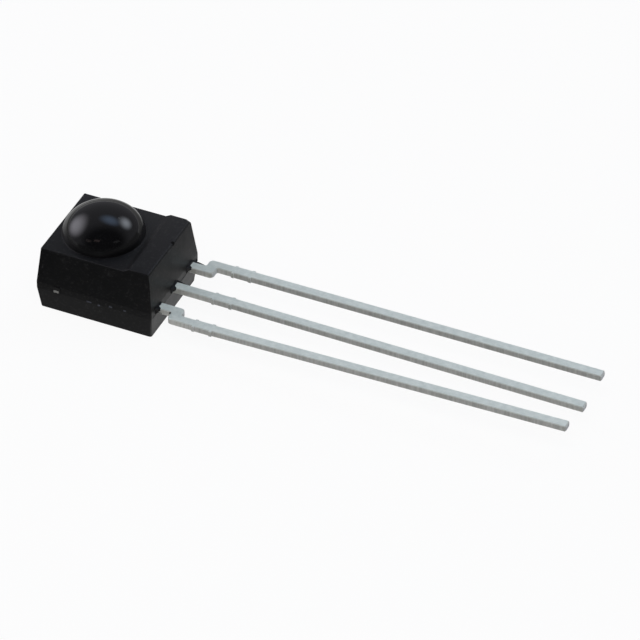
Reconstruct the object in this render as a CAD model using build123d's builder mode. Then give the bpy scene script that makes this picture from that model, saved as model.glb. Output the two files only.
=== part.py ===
"""Infrared receiver module: a three-lead leadframe moulded into a dark epoxy body with a domed lens.

The origin is the centre of the body's outline, on its flat back face. +Z points out through the lens
and +X runs along the leads to their tips. All sizes are in millimetres.
"""

import os

from build123d import *

os.makedirs("parts", exist_ok=True)

# Moulded body
body_length = 6.95
body_width = 5.90
parting_height = 1.40
parting_band = 0.42
face_height = 4.00
back_corner = 0.14
side_corner = 0.05
face_corner = 0.05
edge_bevel = 0.03

# How far each wall leans in from the parting line, at the back face and at the top of the land
back_far_draft = 0.11
back_lead_draft = 0.125
back_side_draft = 0.19
front_far_draft = 0.23
front_lead_draft = 0.26
front_side_draft = 0.30

# Raised land across the lead end of the lens face, with one moulding void at its edge
land_length = 1.715
land_rise = 0.20
land_slope = 0.38
land_edge_round = 0.12
void_radius = 0.13
void_side = 0.46
void_depth = 0.05

# Domed lens, a half ellipsoid whose middle lies just under the face, and how it fits the face
lens_margin = 0.17
lens_crown = 1.66
lens_sink = 0.10
lens_root_round = 0.10

# Stamped leadframe
frame_thickness = 0.38
lead_width = 0.55
lead_pitch = 2.54
jog_shift = 0.59
row_offset = -0.06
lead_reach = 24.10
jog_start = 0.88
jog_width = 0.62
jog_outer_round = 0.24
jog_inner_round = 0.12
dam_bar_start = 2.37
dam_bar_length = 1.18
dam_bar_swell = 0.03
shear_nub_length = 0.16
shear_nub_height = 0.05
lead_bevel = 0.04
tip_bevel = 0.06

# How far the tip of each tail has been bent aside and up from where it started
output_tip_side = 0.08
output_tip_rise = 0.37
ground_tip_side = 0.05
ground_tip_rise = -0.23
supply_tip_side = 0.06
supply_tip_rise = -0.02

# Bond posts of the outer leads, inside the body
post_width = 1.35
post_gap = 0.15
post_inset = 0.75
post_from_middle = 0.95
lock_hole_radius = 0.20

# Die paddle and its two tie bars, on the middle lead
paddle_width = 2.90
paddle_from_far_end = 0.75
paddle_past_die = 0.265
paddle_corner = 0.20
neck_width = 0.80
tie_bar_width = 0.40
tie_bar_from_far_end = 1.23
tie_bar_proud = 0.03

# Dies and the adhesive under them
adhesive_thickness = 0.03
adhesive_margin = 0.05
photodiode_size = 1.70
photodiode_thickness = 0.25
receiver_length = 0.85
receiver_width = 1.15
receiver_thickness = 0.25
die_gap = 0.20

# Bond wires
wire_radius = 0.025
wire_sides = 8
ball_radius = 0.05
ball_height = 0.04
wire_loop = 0.26
wire_peak_share = 0.35
pad_inset = 0.13
stitch_inset = 0.34

# Flash left by the mould where the leads leave the body
flash_root = 0.05
rim_reach = 0.03
rim_height = 0.06
web_thickness = 0.10
thin_web_thickness = 0.03
web_drop = 0.02
middle_web_length = 0.60
film_thickness = 0.03
film_length = 0.34
film_width = 0.20
collar_length = 0.12

# Places that follow from the sizes above
far_end = -body_length / 2
lead_end = body_length / 2
band_top = parting_height + parting_band
land_top = face_height + land_rise
land_end = lead_end - front_lead_draft
step_x = lead_end - land_length
face_x = far_end + front_far_draft
lens_radius = min((step_x - face_x) / 2, body_width / 2 - front_side_draft) - lens_margin
lens_x = (face_x + step_x) / 2
frame_bottom = parting_height
frame_top = parting_height + frame_thickness
exit_pitch = lead_pitch - jog_shift
tip_x = lead_end + lead_reach
jog_x = lead_end + jog_start
dam_x = lead_end + dam_bar_start
tail_x = dam_x + dam_bar_length
adhesive_top = frame_top + adhesive_thickness
photodiode_top = adhesive_top + photodiode_thickness
receiver_top = adhesive_top + receiver_thickness
receiver_x = lens_x + photodiode_size / 2 + die_gap + receiver_length / 2
tie_bar_x = far_end + tie_bar_from_far_end
paddle_x = far_end + paddle_from_far_end
paddle_end_x = receiver_x + receiver_length / 2 + paddle_past_die
post_x = paddle_end_x + post_gap
post_end_x = lead_end - post_inset


def bar(start_x, end_x, low_y, high_y):
    """Adds a rectangle between two lengths and two widths to the sketch that is open."""
    with Locations(((start_x + end_x) / 2, (low_y + high_y) / 2)):
        Rectangle(end_x - start_x, high_y - low_y)


def dam_bar_stretch(middle):
    """Adds the stretch of one lead where the dam bar was cut away, with its four shear nubs."""
    half = lead_width / 2 + dam_bar_swell
    bar(dam_x, tail_x, middle - half, middle + half)
    for nub_x in (dam_x, tail_x - shear_nub_length):
        nub_half = half + shear_nub_height
        bar(nub_x, nub_x + shear_nub_length, middle - nub_half, middle + nub_half)


def tail_sections(middle, tip_side, tip_rise):
    """Makes the sections of one tail, where it leaves the dam bar and on both sides of the tip's bevel."""
    stations = (
        (tail_x, 0, 0, 0),
        (tip_x - tip_bevel, tip_side, tip_rise, 0),
        (tip_x, tip_side, tip_rise, tip_bevel),
    )
    sections = []
    for x, side, rise, bevel in stations:
        with BuildSketch(Plane.YZ.offset(x)) as section:
            with Locations((middle + side, frame_bottom + frame_thickness / 2 + rise)):
                tail = Rectangle(lead_width - 2 * bevel, frame_thickness - 2 * bevel)
                chamfer(tail.vertices(), lead_bevel)
        sections.append(section.sketch)
    return sections


def outer_lead_blank(side):
    """Makes the flat blank of an outer lead, on the side of the part that side gives, +1 or -1."""
    exit_y = side * exit_pitch + row_offset
    tail_y = side * lead_pitch + row_offset
    post_y = side * (post_from_middle + post_width / 2)
    half = lead_width / 2
    jog_low = min(exit_y, tail_y) - half
    jog_high = max(exit_y, tail_y) + half
    with BuildSketch(Plane.XY.offset(frame_bottom)) as blank:
        bar(post_x, post_end_x, post_y - post_width / 2, post_y + post_width / 2)
        bar(post_x, jog_x + jog_width, exit_y - half, exit_y + half)
        bar(jog_x, jog_x + jog_width, jog_low, jog_high)
        bar(jog_x, tail_x, tail_y - half, tail_y + half)
        dam_bar_stretch(tail_y)
        corners = blank.vertices().filter_by_position(Axis.X, jog_x - half, jog_x + jog_width + half)
        inner = corners.sort_by_distance((jog_x, exit_y + side * half))[0:1]
        inner += corners.sort_by_distance((jog_x + jog_width, tail_y - side * half))[0:1]
        fillet(inner, jog_inner_round)
        corners = blank.vertices().filter_by_position(Axis.X, jog_x - half, jog_x + jog_width + half)
        outer = corners.sort_by_distance((jog_x, tail_y + side * half))[0:1]
        outer += corners.sort_by_distance((jog_x + jog_width, exit_y - side * half))[0:1]
        fillet(outer, jog_outer_round)
        with Locations(((post_x + post_end_x) / 2, exit_y)):
            Circle(lock_hole_radius, mode=Mode.SUBTRACT)
    return blank.sketch


def bare_edges(lead):
    """Picks the edges round the flat faces of a lead's blank, from its exit to the end of the dam bar."""
    flat_edges = lead.edges().filter_by(Plane.XY)
    leaving = flat_edges.filter_by(lambda edge: edge.bounding_box().max.X > lead_end)
    return leaving.filter_by(lambda edge: edge.bounding_box().min.X < tail_x - lead_bevel)


def bond_wire(start, end, start_height, end_height):
    """Makes a wire from a ball on a die to a stitch on the metal at its other end, over a low loop."""
    span = (Vector(*end) - Vector(*start)).length
    run = (Vector(*end) - Vector(*start)).normalized()
    upright = Plane(origin=(start[0], start[1], start_height), x_dir=run, z_dir=(run.Y, -run.X, 0))
    drop = start_height - end_height + wire_radius
    with BuildPart() as wire:
        with BuildLine(upright) as path:
            Polyline((0, 0), (0, wire_loop), (span * wire_peak_share, wire_loop), (span, -drop))
        with BuildSketch(Plane(origin=path.line @ 0, x_dir=run, z_dir=path.line % 0)):
            RegularPolygon(wire_radius, wire_sides)
        sweep(transition=Transition.RIGHT)
        with BuildSketch(Plane.XY.offset(start_height)):
            with Locations(start):
                RegularPolygon(ball_radius, wire_sides)
        extrude(amount=ball_height)
        split(bisect_by=Plane.XY.offset(end_height), keep=Keep.TOP)
    return wire


def body_outline(height, far_inset, lead_inset, side_inset, corner):
    """Makes the outline of the body at one height, drawn in from the parting line by the insets."""
    with BuildSketch(Plane.XY.offset(height)) as outline:
        with Locations(((far_inset - lead_inset) / 2, 0)):
            RectangleRounded(body_length - far_inset - lead_inset, body_width - 2 * side_inset, corner)
    return outline.sketch


# Output lead, on the -Y side
with BuildPart() as output_lead:
    extrude(outer_lead_blank(-1), amount=frame_thickness)
    chamfer(bare_edges(output_lead), lead_bevel)
    loft(tail_sections(row_offset - lead_pitch, output_tip_side, output_tip_rise), ruled=True)

output_lead.part.label = "output_lead"
export_step(output_lead.part, "parts/output_lead.step")

# Supply lead, on the +Y side
with BuildPart() as supply_lead:
    extrude(outer_lead_blank(1), amount=frame_thickness)
    chamfer(bare_edges(supply_lead), lead_bevel)
    loft(tail_sections(row_offset + lead_pitch, supply_tip_side, supply_tip_rise), ruled=True)

supply_lead.part.label = "supply_lead"
export_step(supply_lead.part, "parts/supply_lead.step")

# Ground lead, in the middle, with the die paddle and the tie bars that held it while it was moulded
with BuildPart() as ground_lead:
    with BuildSketch(Plane.XY.offset(frame_bottom)) as blank:
        bar(paddle_x, paddle_end_x, -paddle_width / 2, paddle_width / 2)
        fillet(blank.vertices(), paddle_corner)
        bar(paddle_end_x, post_end_x, -neck_width / 2, neck_width / 2)
        bar(paddle_end_x, tail_x, row_offset - lead_width / 2, row_offset + lead_width / 2)
        dam_bar_stretch(row_offset)
        tie_bar_end = body_width / 2 + tie_bar_proud
        bar(tie_bar_x - tie_bar_width / 2, tie_bar_x + tie_bar_width / 2, -tie_bar_end, tie_bar_end)
    extrude(amount=frame_thickness)
    chamfer(bare_edges(ground_lead), lead_bevel)
    loft(tail_sections(row_offset, ground_tip_side, ground_tip_rise), ruled=True)

ground_lead.part.label = "ground_lead"
export_step(ground_lead.part, "parts/ground_lead.step")

# Photodiode die under the lens, on its layer of adhesive
with BuildPart() as photodiode_adhesive:
    with BuildSketch(Plane.XY.offset(frame_top)):
        with Locations((lens_x, 0)):
            Rectangle(photodiode_size + 2 * adhesive_margin, photodiode_size + 2 * adhesive_margin)
    extrude(amount=adhesive_thickness)

photodiode_adhesive.part.label = "photodiode_adhesive"
export_step(photodiode_adhesive.part, "parts/photodiode_adhesive.step")

with BuildPart() as photodiode_die:
    with BuildSketch(Plane.XY.offset(adhesive_top)):
        with Locations((lens_x, 0)):
            Rectangle(photodiode_size, photodiode_size)
    extrude(amount=photodiode_thickness)

photodiode_die.part.label = "photodiode_die"
export_step(photodiode_die.part, "parts/photodiode_die.step")

# Receiver die beside it, towards the leads, on its layer of adhesive
with BuildPart() as receiver_adhesive:
    with BuildSketch(Plane.XY.offset(frame_top)):
        with Locations((receiver_x, 0)):
            Rectangle(receiver_length + 2 * adhesive_margin, receiver_width + 2 * adhesive_margin)
    extrude(amount=adhesive_thickness)

receiver_adhesive.part.label = "receiver_adhesive"
export_step(receiver_adhesive.part, "parts/receiver_adhesive.step")

with BuildPart() as receiver_die:
    with BuildSketch(Plane.XY.offset(adhesive_top)):
        with Locations((receiver_x, 0)):
            Rectangle(receiver_length, receiver_width)
    extrude(amount=receiver_thickness)

receiver_die.part.label = "receiver_die"
export_step(receiver_die.part, "parts/receiver_die.step")

# Bond wires, from pads near the dies' edges to the posts, the paddle and the other die
near_pad_x = receiver_x - receiver_length / 2 + pad_inset
far_pad_x = receiver_x + receiver_length / 2 - pad_inset
pad_y = receiver_width / 2 - pad_inset
photodiode_pad_x = lens_x + photodiode_size / 2 - pad_inset
post_middle_x = (post_x + post_end_x) / 2
post_pad_y = post_from_middle + stitch_inset
paddle_pad_y = (receiver_width / 2 + adhesive_margin + paddle_width / 2) / 2

output_wire = bond_wire((far_pad_x, -pad_y), (post_middle_x, -post_pad_y), receiver_top, frame_top)
output_wire.part.label = "output_wire"
export_step(output_wire.part, "parts/output_wire.step")

supply_wire = bond_wire((far_pad_x, pad_y), (post_middle_x, post_pad_y), receiver_top, frame_top)
supply_wire.part.label = "supply_wire"
export_step(supply_wire.part, "parts/supply_wire.step")

ground_wire = bond_wire((near_pad_x, pad_y), (near_pad_x, paddle_pad_y), receiver_top, frame_top)
ground_wire.part.label = "ground_wire"
export_step(ground_wire.part, "parts/ground_wire.step")

photodiode_wire = bond_wire((photodiode_pad_x, -pad_y), (near_pad_x, -pad_y), photodiode_top, receiver_top)
photodiode_wire.part.label = "photodiode_wire"
export_step(photodiode_wire.part, "parts/photodiode_wire.step")

# Moulded body: two drafted halves that meet in an upright band as thick as the frame
with BuildPart() as moulded_body:
    bevelled_back = [draft + edge_bevel for draft in (back_far_draft, back_lead_draft, back_side_draft)]
    outlines = [
        body_outline(0, *bevelled_back, back_corner - edge_bevel),
        body_outline(edge_bevel, back_far_draft, back_lead_draft, back_side_draft, back_corner),
        body_outline(parting_height, 0, 0, 0, side_corner),
        body_outline(band_top, 0, 0, 0, side_corner),
        body_outline(land_top, front_far_draft, front_lead_draft, front_side_draft, face_corner),
    ]
    loft(outlines, ruled=True)

    # The land stays at the lead end, behind a slope, and the rest of the face is lower
    clear_height = land_top + land_rise
    with BuildSketch(Plane.XZ):
        with BuildLine():
            Polyline(
                (far_end, face_height),
                (step_x, face_height),
                (step_x + land_slope, land_top),
                (step_x + land_slope, clear_height),
                (far_end, clear_height),
                close=True,
            )
        make_face()
    extrude(amount=body_width / 2, both=True, mode=Mode.SUBTRACT)

    # The land turns down into the lead end in a round
    with BuildLine(Plane.XZ) as land_end_line:
        profile = ((step_x, land_top), (land_end, land_top), (lead_end, band_top))
        FilletPolyline(*profile, radius=land_edge_round)
    land_end_arc = land_end_line.edges().filter_by(GeomType.CIRCLE)[0]
    arc_top, arc_foot = land_end_arc.vertices().sort_by(Axis.X)
    with BuildSketch(Plane.XZ):
        with BuildLine():
            RadiusArc((arc_top.X, arc_top.Z), (arc_foot.X, arc_foot.Z), land_edge_round)
            Polyline(
                (arc_foot.X, arc_foot.Z),
                (lead_end, arc_foot.Z),
                (lead_end, clear_height),
                (arc_top.X, clear_height),
                (arc_top.X, arc_top.Z),
            )
        make_face()
    extrude(amount=body_width / 2, both=True, mode=Mode.SUBTRACT)

    # The lens rises out of the face over a small root
    with BuildSketch(Plane(origin=(lens_x, 0, face_height - lens_sink), x_dir=(1, 0, 0), z_dir=(0, -1, 0))):
        with BuildLine():
            EllipticalCenterArc((0, 0), lens_radius, lens_crown, start_angle=0, arc_size=90)
            Polyline((0, lens_crown), (0, 0), (lens_radius, 0))
        make_face()
    revolve(axis=Axis((lens_x, 0, 0), (0, 0, 1)))
    flat_edges = moulded_body.edges().filter_by(Plane.XY)
    at_the_face = flat_edges.filter_by_position(Axis.Z, face_height - edge_bevel, face_height + edge_bevel)
    fillet(at_the_face.sort_by(SortBy.LENGTH)[-1], lens_root_round)

    # A small void was left in the edge of the land
    with Locations((land_end, void_side, land_top - void_depth)):
        Sphere(void_radius, mode=Mode.SUBTRACT)

    # A rim of flash runs along the parting line of the lead end
    with BuildSketch(Plane.XY.offset(parting_height)):
        rim_half = body_width / 2 - side_corner
        bar(lead_end - flash_root, lead_end + rim_reach, -rim_half, rim_half)
    extrude(amount=rim_height)

    # Webs of flash fill one side of each exit, and thin films lie over the leads where they come
    # out, longest at the near corner
    exits = (
        (-1, exit_pitch, jog_start, thin_web_thickness),
        (1, 0, middle_web_length, web_thickness),
        (1, exit_pitch, jog_start, web_thickness),
    )
    for side, pitch, length, thickness in exits:
        exit_y = side * pitch + row_offset
        web_y = exit_y + side * lead_width / 2
        with BuildSketch(Plane.XY.offset(frame_bottom)):
            bar(lead_end - flash_root, lead_end + length, *sorted((exit_y, web_y + side * thickness)))
        extrude(amount=frame_thickness - web_drop)
        near_y = exit_y - lead_width / 2
        far_y = exit_y + lead_width / 2
        with BuildSketch(Plane.XY.offset(frame_bottom)):
            with BuildLine():
                Polyline(
                    (lead_end - flash_root, near_y - film_width),
                    (lead_end, near_y - film_width),
                    (lead_end + film_length, near_y),
                    (lead_end + collar_length, near_y + film_width),
                    (lead_end + collar_length, far_y),
                    (lead_end - flash_root, far_y),
                    close=True,
                )
            make_face()
        extrude(amount=frame_thickness + film_thickness)

    # Everything that was moulded in leaves its own shape in the epoxy
    add([output_lead.part, ground_lead.part, supply_lead.part], mode=Mode.SUBTRACT)
    add([photodiode_adhesive.part, photodiode_die.part], mode=Mode.SUBTRACT)
    add([receiver_adhesive.part, receiver_die.part], mode=Mode.SUBTRACT)
    add([output_wire.part, supply_wire.part, ground_wire.part, photodiode_wire.part], mode=Mode.SUBTRACT)

moulded_body.part.label = "moulded_body"
export_step(moulded_body.part, "parts/moulded_body.step")
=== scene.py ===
import math
import random

import bmesh
import bpy
from mathutils import Matrix, Vector


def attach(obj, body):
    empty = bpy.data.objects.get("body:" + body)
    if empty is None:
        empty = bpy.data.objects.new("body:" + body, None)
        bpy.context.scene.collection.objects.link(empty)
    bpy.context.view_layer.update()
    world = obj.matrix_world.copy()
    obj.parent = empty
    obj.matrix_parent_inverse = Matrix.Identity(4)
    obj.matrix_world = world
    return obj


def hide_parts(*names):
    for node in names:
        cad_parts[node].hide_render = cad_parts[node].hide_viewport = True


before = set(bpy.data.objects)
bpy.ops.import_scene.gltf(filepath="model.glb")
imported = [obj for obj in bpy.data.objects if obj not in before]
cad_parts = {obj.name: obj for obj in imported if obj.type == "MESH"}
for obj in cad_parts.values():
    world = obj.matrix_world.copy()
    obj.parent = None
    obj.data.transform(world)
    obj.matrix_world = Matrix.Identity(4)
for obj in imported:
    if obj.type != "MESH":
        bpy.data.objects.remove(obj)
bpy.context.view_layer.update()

# Camera
# The module was photographed through a long lens, from above its -Y side and a little towards its leads.
# Its origin, under the middle of the body, lies left of the picture's centre and a little above it.
camera_azimuth = math.radians(24.1955)
camera_elevation = math.radians(39.1282)
camera_roll = math.radians(0.0964)
camera_distance = 0.27572
origin_left = 0.01108
origin_above = 0.0015
focal_length = 282.394
sensor_size = 36.0
nearest_seen = 0.01
farthest_seen = 20.0


def outwards(azimuth, elevation):
    """The direction from the part to a place round it. Azimuth 0 is the -Y side."""
    return Vector((
        math.sin(azimuth) * math.cos(elevation),
        -math.cos(azimuth) * math.cos(elevation),
        math.sin(elevation),
    ))


towards_camera = outwards(camera_azimuth, camera_elevation)
level_right = Vector((math.cos(camera_azimuth), math.sin(camera_azimuth), 0.0))
level_up = towards_camera.cross(level_right)
picture_right = level_right * math.cos(camera_roll) + level_up * math.sin(camera_roll)
picture_up = level_up * math.cos(camera_roll) - level_right * math.sin(camera_roll)

camera_data = bpy.data.cameras.new("camera")
camera_data.lens = focal_length
camera_data.sensor_width = sensor_size
camera_data.clip_start = nearest_seen
camera_data.clip_end = farthest_seen
camera = bpy.data.objects.new("camera", camera_data)
turn = Matrix((picture_right, picture_up, towards_camera)).transposed().to_4x4()
stand = towards_camera * camera_distance + picture_right * origin_left - picture_up * origin_above
camera.matrix_world = Matrix.Translation(stand) @ turn
bpy.context.scene.collection.objects.link(camera)
bpy.context.scene.camera = camera


# Leadframe: output, ground and supply leads
# Three flat leads, stamped from one strip of steel and plated with matt tin. The rolled faces are pale
# and evenly mottled, the sheared sides have shear lines and a darker, warmer painted shade, and the ends
# were cut after the plating.
rolled_tin = ((0.66, 0.73, 0.695, 1), (0.80, 0.86, 0.82, 1))
# Sheared sides: shear lines under a darker, warmer painted shade
sheared_tin_and_painted_shade = ((0.42, 0.42, 0.385, 1), (0.58, 0.58, 0.545, 1))
cut_tin = (0.76, 0.79, 0.79, 1)
tin_roughness = (0.42, 0.56)
tin_metallic = 0.3
tin_relief = 0.00001
tin_relief_strength = 0.25

# Where flash covers the stubs of the tie bars, and the bare strip in it, in metres
stub_face = (0.00293, 0.00295)
stub_side = (-0.001, 0.0)
stub_film = (0.010, 0.010, 0.010, 1)
bare_strip_x = -0.00227
bare_strip_z = 0.00155
bare_strip_raggedness = 0.00012
bare_strip_share = 0.55


def start_material(name):
    """Makes a material and returns it with its node tree and its main shader."""
    material = bpy.data.materials.new(name)
    material.use_nodes = True
    tree = material.node_tree
    return material, tree, tree.nodes["Principled BSDF"]


def add_node(tree, kind, inputs=None, **settings):
    """Adds a node with its settings, and sets or links the inputs that are given."""
    made = tree.nodes.new(kind)
    for name, value in settings.items():
        setattr(made, name, value)
    for name, value in (inputs or {}).items():
        if isinstance(value, bpy.types.NodeSocket):
            tree.links.new(value, made.inputs[name])
        else:
            made.inputs[name].default_value = value
    return made


def arithmetic(tree, operation, *values, **settings):
    """Works out one value from others."""
    inputs = dict(enumerate(values))
    return add_node(tree, "ShaderNodeMath", inputs, operation=operation, **settings).outputs[0]


def spread(tree, value, source, target=(0.0, 1.0), smooth=False):
    """Maps a value from one range to another, clamped at both ends."""
    inputs = {
        "Value": value,
        "From Min": source[0],
        "From Max": source[1],
        "To Min": target[0],
        "To Max": target[1],
    }
    style = "SMOOTHSTEP" if smooth else "LINEAR"
    return add_node(tree, "ShaderNodeMapRange", inputs, interpolation_type=style).outputs["Result"]


def stretched_noise(tree, place, scale, detail=2.0, roughness=0.5):
    """Noise whose grain has its own size along each axis, given as grains per metre."""
    stretch = add_node(tree, "ShaderNodeMapping", {"Vector": place, "Scale": scale})
    inputs = {"Vector": stretch.outputs["Vector"], "Scale": 1.0, "Detail": detail, "Roughness": roughness}
    return add_node(tree, "ShaderNodeTexNoise", inputs).outputs["Fac"]


def blend_colours(tree, factor, first, second):
    """Mixes two colours by a factor."""
    inputs = {0: factor, 6: first, 7: second}
    return add_node(tree, "ShaderNodeMix", inputs, data_type="RGBA").outputs[2]


def near_to(tree, value, centre, inner, outer):
    """One within a distance of a centre, falling to zero at a larger distance."""
    away = arithmetic(tree, "ABSOLUTE", arithmetic(tree, "SUBTRACT", value, centre))
    return spread(tree, away, (inner, outer), (1.0, 0.0), smooth=True)


def tinned_steel():
    """Matt tin plate over stamped steel, told apart by which way each face looks. The sides get a painted
    shade.
    """
    material, tree, shader = start_material("tinned_steel")
    coordinates = add_node(tree, "ShaderNodeTexCoord").outputs
    place = coordinates["Object"]
    where = add_node(tree, "ShaderNodeSeparateXYZ", {"Vector": place}).outputs
    facing = add_node(tree, "ShaderNodeSeparateXYZ", {"Vector": coordinates["Normal"]}).outputs
    rolled = spread(tree, arithmetic(tree, "ABSOLUTE", facing["Z"]), (0.55, 0.85), smooth=True)
    cut = spread(tree, arithmetic(tree, "ABSOLUTE", facing["X"]), (0.6, 0.9), smooth=True)

    mottle = stretched_noise(tree, place, (2600, 3400, 3400), detail=3.0, roughness=0.6)
    grain = stretched_noise(tree, place, (9000, 12000, 12000), detail=3.0, roughness=0.65)
    shear_lines = stretched_noise(tree, place, (7000, 7000, 700), detail=2.0, roughness=0.6)

    pale = blend_colours(tree, spread(tree, mottle, (0.3, 0.7)), *rolled_tin)
    # The sides take a painted shade, darker and warmer than the tops, streaked with shear lines
    dark = blend_colours(tree, spread(tree, shear_lines, (0.3, 0.7)), *sheared_tin_and_painted_shade)
    faced = blend_colours(tree, rolled, dark, pale)
    ended = blend_colours(tree, cut, faced, cut_tin)

    # The tie bars were snapped off flush with the body. Flash covers their stubs, apart from a strip
    outermost = spread(tree, arithmetic(tree, "ABSOLUTE", where["Y"]), stub_face)
    stub = arithmetic(tree, "MULTIPLY", outermost, spread(tree, where["X"], stub_side, (1.0, 0.0)))
    ragged = arithmetic(tree, "MULTIPLY_ADD", grain, bare_strip_raggedness, where["Z"])
    strip_height = near_to(tree, ragged, bare_strip_z, 0.00005, 0.00010)
    strip_length = near_to(tree, where["X"], bare_strip_x, 0.00012, 0.00018)
    strip = arithmetic(tree, "MULTIPLY", strip_height, strip_length)
    bare = arithmetic(tree, "MULTIPLY", strip, bare_strip_share)
    covered = arithmetic(tree, "SUBTRACT", stub, bare, use_clamp=True)
    tree.links.new(blend_colours(tree, covered, ended, stub_film), shader.inputs["Base Color"])
    tree.links.new(spread(tree, grain, (0.25, 0.75), tin_roughness), shader.inputs["Roughness"])
    shader.inputs["Metallic"].default_value = tin_metallic

    relief = blend_colours(tree, rolled, shear_lines, grain)
    inputs = {"Height": relief, "Strength": tin_relief_strength, "Distance": tin_relief}
    bump = add_node(tree, "ShaderNodeBump", inputs)
    tree.links.new(bump.outputs["Normal"], shader.inputs["Normal"])
    return material


def dress(name, material):
    """Gives a carried-over piece its material in every slot."""
    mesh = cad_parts[name].data
    mesh.materials.clear()
    mesh.materials.append(material)


tin = tinned_steel()
for lead in ("output_lead", "ground_lead", "supply_lead"):
    dress(lead, tin)


# Die adhesive, under the photodiode and under the receiver chip
# Silver-filled epoxy, dispensed on the paddle and cured. It is sealed in the body.
silver_greys = ((0.32, 0.32, 0.33, 1), (0.62, 0.62, 0.63, 1))
silver_metallic = 0.4


def die_adhesive():
    """Grey paste full of silver flakes."""
    material, tree, shader = start_material("die_adhesive")
    place = add_node(tree, "ShaderNodeTexCoord").outputs["Object"]
    flakes = stretched_noise(tree, place, (30000, 30000, 30000), detail=2.0, roughness=0.7)
    shade = blend_colours(tree, spread(tree, flakes, (0.4, 0.6)), *silver_greys)
    tree.links.new(shade, shader.inputs["Base Color"])
    tree.links.new(spread(tree, flakes, (0.3, 0.7), (0.65, 0.35)), shader.inputs["Roughness"])
    shader.inputs["Metallic"].default_value = silver_metallic
    return material


silver_paste = die_adhesive()
for layer in ("photodiode_adhesive", "receiver_adhesive"):
    dress(layer, silver_paste)


# Dies: the photodiode under the lens and the receiver chip beside it
# Sawn silicon. The photodiode is plain and blue-black under its coating, and the chip is patterned
# with small blocks of circuit.
photodiode_blues = ((0.03, 0.035, 0.07, 1), (0.04, 0.05, 0.11, 1))
receiver_greys = ((0.10, 0.11, 0.13, 1), (0.30, 0.30, 0.33, 1))
silicon_metallic = 0.3


def silicon(name, cells_per_metre, shades):
    """Polished silicon under a pattern of blocks."""
    material, tree, shader = start_material(name)
    place = add_node(tree, "ShaderNodeTexCoord").outputs["Object"]
    inputs = {"Vector": place, "Scale": cells_per_metre}
    blocks = add_node(tree, "ShaderNodeTexVoronoi", inputs, distance="CHEBYCHEV").outputs["Distance"]
    shade = blend_colours(tree, spread(tree, blocks, (0.1, 0.5)), *shades)
    tree.links.new(shade, shader.inputs["Base Color"])
    tree.links.new(spread(tree, blocks, (0.0, 0.6), (0.12, 0.3)), shader.inputs["Roughness"])
    shader.inputs["Metallic"].default_value = silicon_metallic
    return material


dress("photodiode_die", silicon("photodiode_silicon", 1500, photodiode_blues))
dress("receiver_die", silicon("receiver_silicon", 14000, receiver_greys))


# Bond wires, from the dies to the posts, the paddle and each other
# Drawn gold, 50 micrometres thick, each with a ball on the die and a stitch at its other end.
golds = ((0.80, 0.52, 0.16, 1), (1.0, 0.76, 0.33, 1))


def gold_wire():
    """Gold with the faint lines of the drawing die."""
    material, tree, shader = start_material("gold_wire")
    place = add_node(tree, "ShaderNodeTexCoord").outputs["Object"]
    lines = stretched_noise(tree, place, (40000, 40000, 4000), detail=1.0)
    tree.links.new(blend_colours(tree, lines, *golds), shader.inputs["Base Color"])
    tree.links.new(spread(tree, lines, (0.3, 0.7), (0.18, 0.32)), shader.inputs["Roughness"])
    shader.inputs["Metallic"].default_value = 1.0
    return material


gold = gold_wire()
for wire in ("output_wire", "supply_wire", "ground_wire", "photodiode_wire"):
    dress(wire, gold)


# Moulded body
# One shot of dark epoxy that passes only infrared light, moulded round the leadframe in two halves
# that meet in an upright band. The lens comes from a polished insert, and the rest is spark-eroded satin.

# Sizes are in millimetres until the mesh is brought to metres
millimetre = 0.001
body_length = 6.95
body_width = 5.90
parting_height = 1.40
band_top = 1.82
face_height = 4.00
land_top = 4.20
lower_insets = (0.11, 0.125, 0.19)
upper_insets = (0.23, 0.26, 0.30)
back_corner = 0.14
wall_corner = 0.05
corner_steps = 4
lead_end = body_length / 2
land_end = lead_end - upper_insets[1]
land_side = body_width / 2 - upper_insets[2]
land_round = 0.12
land_round_steps = 6
step_x = 1.70
land_slope = 0.33
general_round = 0.035
general_round_steps = 3


def outline_at(height, insets, corner, furthest=lead_end):
    """The points of the body's outline at one height: a rectangle with round corners, drawn in at its
    far end, its lead end and its sides, that reaches no further towards the leads than a limit."""
    far_inset, lead_inset, side_inset = insets
    low_x, high_x = far_inset - lead_end, lead_end - lead_inset
    half_y = body_width / 2 - side_inset
    middles = (
        (high_x - corner, half_y - corner),
        (low_x + corner, half_y - corner),
        (low_x + corner, corner - half_y),
        (high_x - corner, corner - half_y),
    )
    points = []
    for quarter, (middle_x, middle_y) in enumerate(middles):
        for step in range(corner_steps + 1):
            angle = math.radians(90) * (quarter + step / corner_steps)
            x = middle_x + corner * math.cos(angle)
            points.append((min(x, furthest), middle_y + corner * math.sin(angle), height))
    return points


def closed_stack(name, loops):
    """Makes a solid from a stack of loops with as many points each, and closes both of its ends."""
    shape = bmesh.new()
    rows = [[shape.verts.new(point) for point in loop] for loop in loops]
    for lower, upper in zip(rows, rows[1:]):
        for i, corner in enumerate(lower):
            j = (i + 1) % len(lower)
            shape.faces.new((corner, lower[j], upper[j], upper[i]))
    shape.faces.new(list(reversed(rows[0])))
    shape.faces.new(rows[-1])
    bmesh.ops.recalc_face_normals(shape, faces=shape.faces)
    mesh = bpy.data.meshes.new(name)
    shape.to_mesh(mesh)
    shape.free()
    made = bpy.data.objects.new(name, mesh)
    bpy.context.scene.collection.objects.link(made)
    return made


def combine(base, tool, operation):
    """Joins a tool to a base, or cuts it away, and removes the tool."""
    step = base.modifiers.new(operation.lower(), "BOOLEAN")
    step.operation = operation
    step.object = tool
    step.solver = "EXACT"
    graph = bpy.context.evaluated_depsgraph_get()
    mesh = bpy.data.meshes.new_from_object(base.evaluated_get(graph))
    base.modifiers.clear()
    base.data = mesh
    bpy.data.objects.remove(tool)


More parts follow.
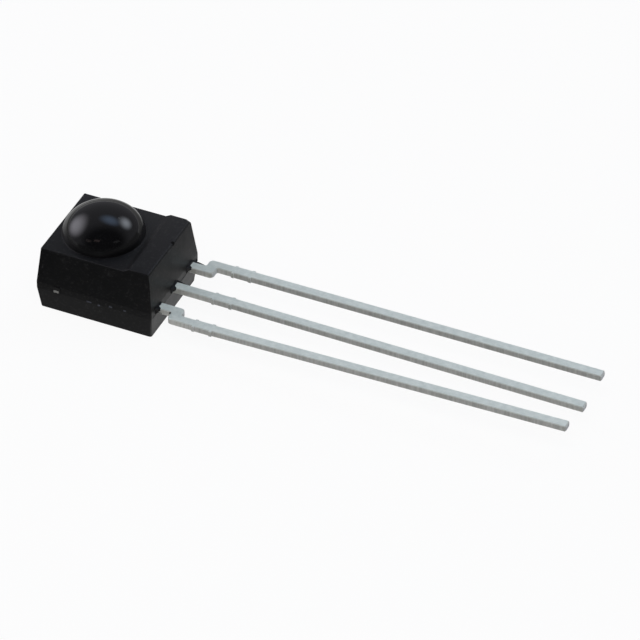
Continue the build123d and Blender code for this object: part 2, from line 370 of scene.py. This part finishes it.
def round_edges(piece, chosen, radius, segments):
    """Joins the flat faces of a piece, then rounds the edges that a test chooses."""
    same_place = 0.0005
    same_plane = math.radians(1)
    shape = bmesh.new()
    shape.from_mesh(piece.data)
    bmesh.ops.remove_doubles(shape, verts=shape.verts, dist=same_place)
    bmesh.ops.dissolve_limit(shape, angle_limit=same_plane, verts=shape.verts, edges=shape.edges)
    edges = [edge for edge in shape.edges if len(edge.link_faces) == 2 and chosen(edge)]
    bmesh.ops.bevel(shape, geom=edges, offset=radius, segments=segments, profile=0.5, affect="EDGES")
    shape.to_mesh(piece.data)
    shape.free()


def turned(name, profile, middle, segments):
    """Turns a profile of radius and height about an upright axis."""
    middle_x, middle_y = middle
    loops = []
    for radius, height in profile:
        loop = []
        for segment in range(segments):
            angle = math.radians(360) * segment / segments
            x, y = middle_x + radius * math.cos(angle), middle_y + radius * math.sin(angle)
            loop.append((x, y, height))
        loops.append(loop)
    return closed_stack(name, loops)


# The two drafted halves and the band between them, with the land's lead end turned down in a round
stack = [
    outline_at(0.0, lower_insets, back_corner),
    outline_at(parting_height, (0.0, 0.0, 0.0), wall_corner),
    outline_at(band_top, (0.0, 0.0, 0.0), wall_corner),
]
front_slope = (lead_end - land_end) / (land_top - band_top)
for step in range(land_round_steps + 1):
    bend = math.radians(90) * step / land_round_steps
    height = land_top - land_round * (1 - math.sin(bend))
    share = (height - band_top) / (land_top - band_top)
    furthest = land_end + front_slope * land_round - land_round * (1 - math.cos(bend))
    stack.append(outline_at(height, [inset * share for inset in upper_insets], wall_corner, furthest))
body = closed_stack("moulded_epoxy_body", stack)

# The face lies lower than the land, and a slope leads up from one to the other
step_side = (
    (-body_length, face_height),
    (step_x, face_height),
    (step_x + land_slope, land_top),
    (step_x + land_slope, 2 * land_top),
    (-body_length, 2 * land_top),
)
step_cut = closed_stack("step", [[(x, y, z) for x, z in step_side] for y in (-body_width, body_width)])
combine(body, step_cut, "DIFFERENCE")

# The far corner of the land is worn down, across three points that lie this far from the corner
worn_reach = ((-0.29, 0.0, 0.0), (0.0, -0.30, 0.0), (0.02, 0.02, -0.17))
cutter_spread = 1.6
cutter_depth = 0.5
land_corner = Vector((land_end, land_side, land_top))
worn_and_glint_breakup = [land_corner + Vector(reach) for reach in worn_reach]
worn_middle = sum(worn_and_glint_breakup, Vector()) / 3
off_corner = (worn_and_glint_breakup[1] - worn_and_glint_breakup[0]).cross(worn_and_glint_breakup[2] - worn_and_glint_breakup[0]).normalized()
off_corner = off_corner if off_corner.z > 0 else -off_corner
cutter_base = [worn_middle + (point - worn_middle) * cutter_spread for point in worn_and_glint_breakup]
cutter_top = [point + off_corner * cutter_depth for point in cutter_base]
combine(body, closed_stack("worn_corner", [cutter_base, cutter_top]), "DIFFERENCE")


def meant_sharp(edge):
    """True for an edge where two walls meet at a clear angle, apart from the land's round and the
    edges across its slope."""
    clear_angle = math.radians(28)
    slack = 0.01
    first, second = edge.verts[0].co, edge.verts[1].co
    middle = (first + second) / 2
    in_round = middle.x > land_end - land_round and middle.z > land_top - land_round
    in_slope = abs(middle.x - step_x - land_slope / 2) < land_slope and middle.z > face_height - slack
    crossways = abs(first.x - second.x) < slack / 10
    return edge.calc_face_angle(0.0) > clear_angle and not in_round and not (in_slope and crossways)


round_edges(body, meant_sharp, general_round, general_round_steps)

# Flash: a low ragged ridge along the lead end, webs beside the leads, films over them and a crumb.
# The rows are where the leads leave the body
random.seed(5)
output_row, ground_row, supply_row = -2.01, -0.06, 1.89
lead_half = 0.275
frame_top = 1.78
buried = 0.10


def ragged_ridge():
    """A low ridge at the parting line whose reach wanders, with a flake at its far corner."""
    first_y, span, stations = -2.80, 5.66, 57
    least, most, wander = 0.003, 0.012, 0.003
    flake_y, flake_half_width, flake_size = 2.76, 0.12, 0.07
    reach = 0.007
    loops = []
    for i in range(stations):
        y = first_y + span * i / (stations - 1)
        reach = min(max(reach + random.uniform(-wander, wander), least), most)
        flake = flake_size * max(0.0, 1 - abs(y - flake_y) / flake_half_width)
        tip = lead_end + reach + flake
        loops.append([
            (lead_end - buried, y, parting_height - 0.01),
            (tip, y, parting_height),
            (tip - 0.005, y, parting_height + 0.02 + flake),
            (lead_end - buried, y, parting_height + 0.05 + flake),
        ])
    return closed_stack("ridge", loops)


def web(row, side, length, thickness, height):
    """A fin of flash beside an exit, thick at the wall and ragged at its end."""
    stations = 11
    tip_thickness = 0.012
    taper = 0.7
    fall, rise = 0.05, 0.1
    side_wander, top_wander = 0.008, 0.01
    top_share = 0.8
    edge = row + side * lead_half
    foot = parting_height + 0.02
    loops = []
    for i in range(stations):
        share = i / (stations - 1)
        x = lead_end - buried + (length + buried) * share
        out = thickness * (1 - share) ** taper + tip_thickness + random.uniform(-side_wander, side_wander)
        top = parting_height + height - fall * share + random.uniform(-top_wander, top_wander)
        loops.append([
            (x, row, foot),
            (x, edge + side * out, foot + rise * share),
            (x, edge + side * out * top_share, top),
            (x, row, top),
        ])
    return closed_stack("web", loops)


def film(row):
    """A ragged skin of flash over the start of a lead, longest where it wraps the near corner."""
    stations = 19
    beside = 0.17
    past_far_side = 0.01
    reach_beside, growth_beside = 0.02, 0.22
    reach_on_top, growth_on_top = 0.09, 0.20
    foot_beside, climb_beside = parting_height + 0.06, 0.20
    foot_on_top = frame_top - 0.03
    wander = 0.018
    near = row - lead_half
    first_y = near - beside
    span = beside + 2 * lead_half + past_far_side
    loops = []
    for i in range(stations):
        y = first_y + span * i / (stations - 1)
        if y < near:
            share = 1 - (near - y) / beside
            reach = reach_beside + growth_beside * share ** 1.5
            foot = foot_beside + climb_beside * share
        else:
            reach = reach_on_top + growth_on_top * max(0.0, 1 - (y - near) / beside)
            foot = foot_on_top
        reach += random.uniform(-wander, wander)
        loops.append([
            (lead_end - buried, y, foot),
            (lead_end + reach, y, foot),
            (lead_end + reach - 0.012, y, frame_top + 0.014),
            (lead_end - buried, y, frame_top + 0.05),
        ])
    return closed_stack("film", loops)


def crumb(place, size):
    """A crumb of flash, a lopsided lump of a few faces."""
    middle_x, middle_y, middle_z = place
    loops = []
    for height, width in ((-0.5, 0.5), (-0.1, 1.0), (0.3, 0.8), (0.5, 0.3)):
        loop = []
        for corner in range(6):
            angle = math.radians(60) * corner
            far = size * width * random.uniform(0.7, 1.1)
            x, y = middle_x + far * math.cos(angle), middle_y + far * math.sin(angle)
            loop.append((x, y, middle_z + height * size))
        loops.append(loop)
    return closed_stack("crumb", loops)


combine(body, ragged_ridge(), "UNION")
combine(body, web(output_row, -1, length=0.30, thickness=0.012, height=0.12), "UNION")
for row, length in ((ground_row, 0.62), (supply_row, 0.88)):
    combine(body, web(row, 1, length, thickness=0.20, height=0.372), "UNION")
for row in (output_row, ground_row, supply_row):
    combine(body, film(row), "UNION")
combine(body, crumb((4.33, -2.32, 1.72), size=0.09), "UNION")

# Slivers of flash near the parting line of the near side: the place of each along X and Z, and its length
near_wall = -body_width / 2
slivers = ((-0.285, 1.42, 0.30), (0.305, 1.37, 0.16), (1.015, 1.50, 0.20), (1.875, 1.50, 0.16))
for x, z, length in slivers:
    loops = []
    for share, reach in ((0.0, 0.006), (0.3, 0.030), (0.75, 0.024), (1.0, 0.006)):
        along = x + length * (share - 0.5)
        loops.append([
            (along, near_wall + 0.05, z - 0.05),
            (along, near_wall - reach, z - 0.03),
            (along, near_wall - reach * 0.7, z + 0.02),
            (along, near_wall + 0.05, z + 0.06),
        ])
    combine(body, closed_stack("sliver", loops), "UNION")

# The void in the land's edge, half a ball under a mouth that narrows upwards
pit_place = Vector((land_end - 0.02, 0.46, land_top - 0.05))
pit_radius = 0.13
pit_rings = 9
pit_segments = 20
pit_profile = [(0.02, 2 * pit_radius), (pit_radius * 0.8, pit_radius), (pit_radius, 0.0)]
for ring in range(1, pit_rings):
    bend = math.radians(90) * ring / pit_rings
    pit_profile.append((pit_radius * math.cos(bend), -pit_radius * math.sin(bend)))
pit_profile = [(radius, height + pit_place.z) for radius, height in pit_profile]
combine(body, turned("pit", pit_profile, pit_place.xy, pit_segments), "DIFFERENCE")

# The lens, a flattened dome that stands on the face with a small round at its root
lens_x = -0.765
lens_radius = 2.31
lens_crown = 1.66
lens_sink = 0.10
lens_root_round = 0.03
lens_segments = 160
lens_rings = 44
root_rings = 7


def lens_profile():
    """Radius and height down the lens: over the dome, round the root, then down inside the body.
    The angle where the round sets in is found by halving."""
    middle = face_height - lens_sink
    halvings = 40
    low, high = 0.0, math.radians(90)
    for _ in range(halvings):
        angle = (low + high) / 2
        out = Vector((math.sin(angle) / lens_radius, math.cos(angle) / lens_crown)).normalized()
        round_middle = middle + lens_crown * math.cos(angle) + lens_root_round * out.y
        too_high = round_middle - face_height - lens_root_round > 0
        low, high = (angle, high) if too_high else (low, angle)
    points = []
    for ring in range(lens_rings + 1):
        bend = angle * ring / lens_rings
        points.append((lens_radius * math.sin(bend), middle + lens_crown * math.cos(bend)))
    root_x = points[-1][0] + lens_root_round * out.x
    start = math.atan2(out.y, out.x)
    for ring in range(1, root_rings + 1):
        bend = start + (math.radians(90) - start) * ring / root_rings
        rise = lens_root_round * (1 - math.sin(bend))
        points.append((root_x - lens_root_round * math.cos(bend), face_height + rise))
    return points[1:] + [(root_x, face_height - lens_root_round)]


combine(body, turned("lens", lens_profile(), (lens_x, 0.0), lens_segments), "UNION")

body.data.transform(Matrix.Scale(millimetre, 4))
body.data.update()

# The epoxy, in metres: black, paled towards the far side by painted light, with painted glints on the dome
# and the near wall
blacks = ((0.0015, 0.0015, 0.002, 1), (0.003, 0.003, 0.0035, 1))
speckle_colour = (0.060, 0.060, 0.058, 1)
# The colour of the painted glints on the flash slivers
sliver_glint_colour = (0.065, 0.070, 0.085, 1)
epoxy_relief = 0.000004
foot_dulling = 0.30


def dark_epoxy(name, roughness, relief, specular, painted_far_light, glints, speckling, dull_foot=None):
    """Epoxy of one finish, paled towards its far side by painted light. Each painted glint is a place, a
    half length, a half height and a colour. A dull foot is the stretch of height over which the polish sets
    in."""
    material, tree, shader = start_material(name)
    place = add_node(tree, "ShaderNodeTexCoord").outputs["Object"]
    where = add_node(tree, "ShaderNodeSeparateXYZ", {"Vector": place}).outputs
    clouds = stretched_noise(tree, place, (700, 700, 700), detail=4.0, roughness=0.65)
    grain = stretched_noise(tree, place, (16000, 16000, 16000), detail=3.0, roughness=0.65)
    speckles = stretched_noise(tree, place, (7500, 7500, 7500), detail=3.0, roughness=0.7)

    # Painted light: the base colour grows paler from the near wall to the far side
    far_light_share = spread(tree, where["Y"], (-body_width / 2 * millimetre, body_width / 2 * millimetre))
    shade = blend_colours(tree, far_light_share, blend_colours(tree, clouds, *blacks), painted_far_light)
    # Grain that breaks up the painted glints
    worn_and_glint_breakup = spread(tree, grain, (0.35, 0.6), (0.5, 1.0))
    # Each painted glint is a pale patch laid into the base colour
    for (x, y, z), half_length, half_height, colour in glints:
        mask = worn_and_glint_breakup
        for axis, centre, half, softness in (
            ("X", x, half_length, 0.2),
            ("Y", y, half_length, 0.2),
            ("Z", z, half_height, 0.4),
        ):
            near = near_to(tree, where[axis], centre, half * (1 - softness), half * (1 + softness))
            mask = arithmetic(tree, "MULTIPLY", mask, near)
        shade = blend_colours(tree, mask, shade, colour)
    speckled = spread(tree, speckles, (0.55, 0.77), (0.0, speckling))
    shade = blend_colours(tree, speckled, shade, speckle_colour)
    tree.links.new(shade, shader.inputs["Base Color"])

    dullness = spread(tree, clouds, (0.3, 0.7), roughness)
    if dull_foot:
        foot = spread(tree, where["Z"], dull_foot, (foot_dulling, 0.0), smooth=True)
        dullness = arithmetic(tree, "ADD", dullness, foot)
    tree.links.new(dullness, shader.inputs["Roughness"])
    shader.inputs["Specular IOR Level"].default_value = specular
    inputs = {"Height": grain, "Strength": relief, "Distance": epoxy_relief}
    bump = add_node(tree, "ShaderNodeBump", inputs)
    tree.links.new(bump.outputs["Normal"], shader.inputs["Normal"])
    return material


def glint_in_metres(place, half_length, half_height, colour):
    """Brings a painted glint's sizes from millimetres to metres."""
    return Vector(place) * millimetre, half_length * millimetre, half_height * millimetre, colour


mark_half_height = 0.05
# Painted glints on the flash slivers of the near wall
sliver_glints = [glint_in_metres((x, near_wall, z), length / 2, mark_half_height, sliver_glint_colour) for x, z, length in slivers]
# Painted glints on the dome: three dashes low on its near side and one near its crown
dome_glints = [
    glint_in_metres((-0.71, -1.94, 4.79), 0.155, 0.045, (0.020, 0.017, 0.016, 1)),
    glint_in_metres((-0.26, -1.82, 4.85), 0.155, 0.045, (0.024, 0.018, 0.017, 1)),
    glint_in_metres((0.69, -1.34, 4.755), 0.13, 0.045, (0.016, 0.016, 0.016, 1)),
    glint_in_metres((0.258, -0.14, 5.385), 0.05, 0.045, (0.032, 0.033, 0.037, 1)),
]
body.data.materials.append(dark_epoxy(
    "satin_epoxy",
    roughness=(0.38, 0.50),
    relief=0.7,
    specular=0.32,
    # Painted light: the pale tone of the far side
    painted_far_light=(0.014, 0.014, 0.015, 1),
    # Painted glints on the near wall's slivers
    glints=sliver_glints,
    speckling=0.5,
))
body.data.materials.append(dark_epoxy(
    "polished_epoxy",
    roughness=(0.06, 0.10),
    relief=0.03,
    specular=0.5,
    # Painted light: the tone of the far side
    painted_far_light=(0.002, 0.002, 0.0025, 1),
    # Painted glints on the dome
    glints=dome_glints,
    speckling=0.05,
    dull_foot=(0.0041, 0.0048),
))

# The first material is the satin one, and the second is the lens's
lens_foot = (face_height + lens_root_round / 2) * millimetre
lens_reach = lens_radius * 1.02 * millimetre
for face in body.data.polygons:
    face.use_smooth = True
    away = math.hypot(face.center.x - lens_x * millimetre, face.center.y)
    on_lens = away < lens_reach and face.center.z > lens_foot
    face.material_index = 1 if on_lens else 0
body.data.set_sharp_from_angle(angle=math.radians(30))

# The two edges of the parting band stay sharp
parting_lines = (parting_height * millimetre, band_top * millimetre)
on_a_line = 0.001 * millimetre
sharp_edges = body.data.attributes["sharp_edge"].data
for edge in body.data.edges:
    ends = [body.data.vertices[i].co.z for i in edge.vertices]
    if any(max(abs(z - line) for z in ends) < on_a_line for line in parting_lines):
        sharp_edges[edge.index].value = True
even = body.modifiers.new("even_normals", "WEIGHTED_NORMAL")
even.keep_sharp = True
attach(body, "root")
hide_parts("moulded_body")


# Stage
# A plain pale floor, a sky that is bright at its horizon and darker overhead, and four soft boxes. A
# card on the floor and four low cards far round the part are seen by reflections only.
floor_reach = 3.0
floor_drop = 0.00001
floor_colour = (0.90, 0.90, 0.90, 1)
floor_glow = 0.92
card_reach = 0.09
card_lift = 0.00001
rising, falling = (0.0, 1.0), (1.0, 0.0)


def flat_sheet(name, corners):
    """Makes a stage sheet from its four corners."""
    data = bpy.data.meshes.new(name)
    data.from_pydata(corners, [], [(0, 1, 2, 3)])
    sheet = bpy.data.objects.new(name, data)
    bpy.context.scene.collection.objects.link(sheet)
    return sheet


def lying_square(name, reach, height):
    """Makes a square stage sheet that lies round the origin."""
    corners = ((-reach, -reach), (reach, -reach), (reach, reach), (-reach, reach))
    return flat_sheet(name, [(x, y, height) for x, y in corners])


def grey(tone):
    """A grey of one tone."""
    return tone, tone, tone, 1


floor = lying_square("floor", floor_reach, -floor_drop)
floor_material, floor_tree, floor_shader = start_material("floor")
floor_shader.inputs["Base Color"].default_value = floor_colour
floor_shader.inputs["Roughness"].default_value = 1.0
floor_shader.inputs["Specular IOR Level"].default_value = 0.0
rays = add_node(floor_tree, "ShaderNodeLightPath").outputs
seen = arithmetic(floor_tree, "MAXIMUM", rays["Is Camera Ray"], rays["Is Glossy Ray"])
seen = arithmetic(floor_tree, "MAXIMUM", seen, rays["Is Transmission Ray"])
white = add_node(floor_tree, "ShaderNodeEmission", {"Color": grey(1), "Strength": 1.0})
share = arithmetic(floor_tree, "MULTIPLY", seen, floor_glow)
inputs = {0: share, 1: floor_shader.outputs[0], 2: white.outputs[0]}
mixed = add_node(floor_tree, "ShaderNodeMixShader", inputs)
floor_tree.links.new(mixed.outputs[0], floor_tree.nodes["Material Output"].inputs["Surface"])
floor.data.materials.append(floor_material)


def light_card(card):
    """Makes a card glow and be seen by reflections only, and returns its node tree and its glow."""
    material = bpy.data.materials.new(card.name)
    material.use_nodes = True
    tree = material.node_tree
    glow = add_node(tree, "ShaderNodeEmission")
    tree.links.new(glow.outputs[0], tree.nodes["Material Output"].inputs["Surface"])
    card.data.materials.append(material)
    card.visible_camera = False
    card.visible_diffuse = False
    card.visible_shadow = False
    card.visible_transmission = False
    return tree, glow


# The lying card is dark in front and brighter behind. Its patches have a tone each, and limits where
# they set in or end: an axis, the stretch of the change, and its direction
card_patches = {
    "right of the body": (0.19, (("X", (0.0038, 0.0072), rising),)),
    "beside the lead end": (0.90, (("X", (0.0032, 0.0036), rising), ("X", (0.0043, 0.0051), falling))),
    "behind": (0.22, (("Y", (0.009, 0.024), rising), ("X", (-0.032, -0.014), rising))),
    "far back": (0.30, (("Y", (0.055, 0.080), rising),)),
    "far left": (0.30, (("X", (-0.085, -0.030), falling),)),
    "before the near wall": (0.30, (
        ("X", (-0.0054, -0.0037), rising),
        ("X", (0.0013, 0.0030), falling),
        ("Y", (-0.0056, -0.0046), rising),
        ("Y", (-0.0026, -0.0016), falling),
    )),
}

card_tree, card_glow = light_card(lying_square("lying_card", card_reach, card_lift))
place = add_node(card_tree, "ShaderNodeTexCoord").outputs["Object"]
spot = add_node(card_tree, "ShaderNodeSeparateXYZ", {"Vector": place}).outputs
beside = spread(card_tree, spot["X"], (0.0, 0.005), (0.0, 0.006))
depth = arithmetic(card_tree, "ADD", spot["Y"], beside)
toned = spread(card_tree, depth, (-0.010, 0.016), (0.09, 0.70), smooth=True)
for tone, limits in card_patches.values():
    mask = 1.0
    for axis, stretch, direction in limits:
        limit = spread(card_tree, spot[axis], stretch, direction, smooth=True)
        mask = arithmetic(card_tree, "MULTIPLY", mask, limit)
    toned = blend_colours(card_tree, mask, toned, grey(tone))
card_tree.links.new(toned, card_glow.inputs["Color"])

# The standing cards: their ends, heights and tones
near_left, near_right = (-card_reach, -card_reach), (card_reach, -card_reach)
far_left, far_right = (-card_reach, card_reach), (card_reach, card_reach)
for name, start, end, rise, tone in (
    ("front_card", near_left, near_right, 0.030, 0.07),
    ("right_card", near_right, far_right, 0.030, 0.15),
    ("back_card", far_left, far_right, 0.012, 0.30),
    ("left_card", near_left, far_left, 0.012, 0.29),
):
    card = flat_sheet(name, [(*start, 0.0), (*end, 0.0), (*end, rise), (*start, rise)])
    card_tree, card_glow = light_card(card)
    card_glow.inputs["Color"].default_value = grey(tone)

# The sky is white at its horizon and grey above it, and darkest over the near right side
world = bpy.data.worlds.new("studio")
bpy.context.scene.world = world
world.use_nodes = True
sky = world.node_tree
outward = add_node(sky, "ShaderNodeTexCoord").outputs["Generated"]
height = add_node(sky, "ShaderNodeSeparateXYZ", {"Vector": outward}).outputs["Z"]
ramp = add_node(sky, "ShaderNodeValToRGB", {"Fac": height})
horizon, overhead = ramp.color_ramp.elements
horizon.position = 0.064
horizon.color = grey(1)
overhead.position = 0.12
overhead.color = (0.27, 0.27, 0.29, 1)
inputs = {0: outward, 1: Vector((0.36, -0.68, 0.64)).normalized()}
towards_dark = add_node(sky, "ShaderNodeVectorMath", inputs, operation="DOT_PRODUCT").outputs["Value"]
dark_side = spread(sky, towards_dark, (0.35, 0.80), smooth=True)
above = spread(sky, height, (0.07, 0.25), smooth=True)
dimmed = arithmetic(sky, "MULTIPLY", dark_side, above)
light = blend_colours(sky, dimmed, ramp.outputs["Color"], grey(0.04))
sky.links.new(light, sky.nodes["Background"].inputs["Color"])


def soft_box(name, azimuth, elevation, distance, size, radiance, colour=(1, 1, 1), core=0.05, glossy=True):
    """Hangs a rectangular lamp with soft borders round a brighter core, aimed at the lens."""
    aim_height = 5.0
    away = outwards(math.radians(azimuth), math.radians(elevation))
    aim = Vector((lens_x, 0.0, aim_height)) * millimetre
    width, height = size
    data = bpy.data.lights.new(name, "AREA")
    data.shape = "RECTANGLE"
    data.size = width
    data.size_y = height
    data.energy = radiance * math.pi * width * height
    data.color = colour
    data.use_nodes = True
    tree = data.node_tree
    across = add_node(tree, "ShaderNodeNewGeometry").outputs["Parametric"]
    inputs = {0: across, 1: (0.5, 0.5, 0.0)}
    centred = add_node(tree, "ShaderNodeVectorMath", inputs, operation="SUBTRACT").outputs[0]
    reach = add_node(tree, "ShaderNodeVectorMath", {0: centred}, operation="LENGTH").outputs["Value"]
    fade = spread(tree, reach, (core, 0.5), falling, smooth=True)
    tree.links.new(fade, tree.nodes["Emission"].inputs["Strength"])
    lamp = bpy.data.objects.new(name, data)
    facing = away.to_track_quat("Z", "Y").to_matrix().to_4x4()
    lamp.matrix_world = Matrix.Translation(aim + away * distance) @ facing
    lamp.visible_camera = False
    lamp.visible_glossy = glossy
    bpy.context.scene.collection.objects.link(lamp)


soft_box("left_box", -90, 31, distance=0.26, size=(0.33, 0.30), radiance=2.75, colour=(1.0, 0.98, 1.08))
soft_box("right_box", 146, 43, distance=0.20, size=(0.15, 0.13), radiance=3.8, colour=(0.83, 0.90, 1.0),
         core=0.0)
soft_box("top_box", 178, 66, distance=0.30, size=(0.26, 0.17), radiance=1.4, colour=(0.45, 0.66, 1.0))
soft_box("fill_box", 20, 58, distance=0.25, size=(0.30, 0.30), radiance=3.7, glossy=False)

bpy.context.scene.view_settings.view_transform = "Standard"
